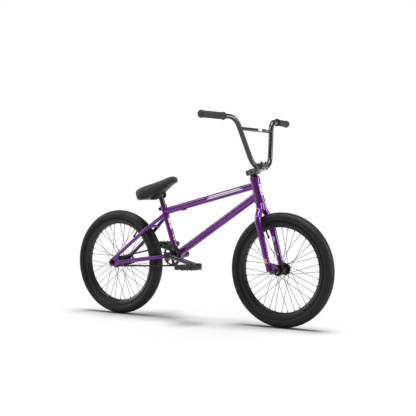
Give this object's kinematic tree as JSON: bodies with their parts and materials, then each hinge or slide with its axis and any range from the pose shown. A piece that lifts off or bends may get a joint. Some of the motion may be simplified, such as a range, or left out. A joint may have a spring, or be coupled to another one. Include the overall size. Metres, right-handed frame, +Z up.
{
  "type": "bmx bicycle",
  "caption": "Freestyle BMX bicycle with a painted steel frame, high-rise bars with crossbar, fat street tyres, platform pedals, low padded saddle and a single-speed chain drive; no brakes.",
  "frame": {"origin": "on the ground under the middle of the bicycle, midway between the two wheel axles", "axes": "+X towards the front wheel, +Y to the rider's left, +Z up; the chain is on the -Y side"},
  "size_m": [1.4278, 0.748, 0.945],
  "materials": {
    "purple_paint": "metallic candy paint, glossy",
    "bearing_steel": "ground steel",
    "dark_steel": "black oxide steel",
    "chain_steel": "blackened steel",
    "black_tube_paint": "satin black paint",
    "black_aluminium": "black anodised",
    "black_spoke": "black coated stainless steel",
    "tyre_rubber": "matte black rubber",
    "inner_rubber": "butyl rubber",
    "grip_rubber": "soft black rubber",
    "black_plastic": "black nylon",
    "saddle_fabric": "dark grey woven cover over foam"
  },
  "bodies": {
    "frame": {"head_tube": "purple_paint", "top_tube": "purple_paint", "down_tube": "purple_paint", "seat_tube": "purple_paint", "bb_shell": "purple_paint", "chainstay_left": "purple_paint", "chainstay_right": "purple_paint", "seatstay_left": "purple_paint", "seatstay_right": "purple_paint", "stay_bridges": "purple_paint", "rear_dropouts": "purple_paint", "seat_clamp_bolt": "dark_steel", "headset_bearings": "bearing_steel", "bb_bearings": "bearing_steel", "chain": "chain_steel", "rear_axle": "dark_steel", "rear_axle_nuts": "dark_steel", "chain_tensioners": "dark_steel"},
    "fork": {"steerer_tube": "purple_paint", "crown_race": "bearing_steel", "fork_leg_left": "purple_paint", "fork_leg_right": "purple_paint", "headset_covers": "black_aluminium", "stem_body": "black_aluminium", "stem_cap": "black_aluminium", "stem_bolts": "dark_steel", "steerer_cap": "black_aluminium", "front_axle": "dark_steel", "front_axle_nuts": "dark_steel"},
    "handlebar": {"handlebar_tube": "black_tube_paint", "handlebar_crossbar": "black_tube_paint", "grip_left": "grip_rubber", "grip_right": "grip_rubber", "bar_end_plugs": "black_plastic"},
    "front_wheel": {"front_tyre": "tyre_rubber", "front_tube": "inner_rubber", "front_rim": "black_aluminium", "front_spokes": "black_spoke", "front_hub": "black_aluminium", "front_hub_bearings": "bearing_steel"},
    "rear_wheel": {"rear_tyre": "tyre_rubber", "rear_tube": "inner_rubber", "rear_rim": "black_aluminium", "rear_spokes": "black_spoke", "rear_hub": "black_aluminium", "rear_hub_bearings": "bearing_steel"},
    "driver": {"driver": "dark_steel"},
    "crank": {"crank_spindle": "dark_steel", "bb_spacers": "black_aluminium", "crank_arm_left": "black_tube_paint", "crank_arm_right": "black_tube_paint", "sprocket": "black_aluminium", "crank_bolts": "dark_steel", "pedal_spindles": "dark_steel"},
    "pedal_left": {"pedal_left": "black_plastic"},
    "pedal_right": {"pedal_right": "black_plastic"},
    "seat_post": {"seat_post": "black_tube_paint"},
    "saddle": {"saddle_base": "black_plastic", "saddle_pad": "saddle_fabric", "saddle_bolt": "dark_steel"}
  },
  "joints": [
    {"name": "steering", "type": "hinge", "parent": "frame", "child": "fork", "pos_m": [0.34823, 0, 0.5525], "axis": [-0.2588, 0, 0.9659], "continuous": true},
    {"name": "handlebar_tilt", "type": "hinge", "parent": "fork", "child": "handlebar", "pos_m": [0.35586, 0, 0.71025], "axis": [0, 1, 0], "range_deg": [-15, 15]},
    {"name": "front_wheel_spin", "type": "hinge", "parent": "fork", "child": "front_wheel", "pos_m": [0.459, 0, 0.255], "axis": [0, 1, 0], "continuous": true},
    {"name": "rear_wheel_spin", "type": "hinge", "parent": "frame", "child": "rear_wheel", "pos_m": [-0.459, 0, 0.255], "axis": [0, 1, 0], "continuous": true},
    {"name": "crank_spin", "type": "hinge", "parent": "frame", "child": "crank", "pos_m": [-0.11088, 0, 0.3005], "axis": [0, 1, 0], "continuous": true, "deforming": ["chain"]},
    {"name": "driver_spin", "type": "hinge", "parent": "frame", "child": "driver", "pos_m": [-0.459, 0, 0.255], "axis": [0, 1, 0], "continuous": true},
    {"name": "pedal_left_spin", "type": "hinge", "parent": "crank", "child": "pedal_left", "pos_m": [-0.28083, 0, 0.34224], "axis": [0, 1, 0], "continuous": true},
    {"name": "pedal_right_spin", "type": "hinge", "parent": "crank", "child": "pedal_right", "pos_m": [0.05907, 0, 0.25876], "axis": [0, 1, 0], "continuous": true},
    {"name": "seat_height", "type": "slide", "parent": "frame", "child": "seat_post", "axis": [-0.3256, 0, 0.9455], "range_m": [-0.02, 0.06]},
    {"name": "saddle_tilt", "type": "hinge", "parent": "seat_post", "child": "saddle", "pos_m": [-0.20919, 0, 0.586], "axis": [0, 1, 0], "range_deg": [-12, 12]}
  ],
  "couplings": [
    {"joint": "driver_spin", "follows": "crank_spin", "ratio": 2.6667}
  ]
}
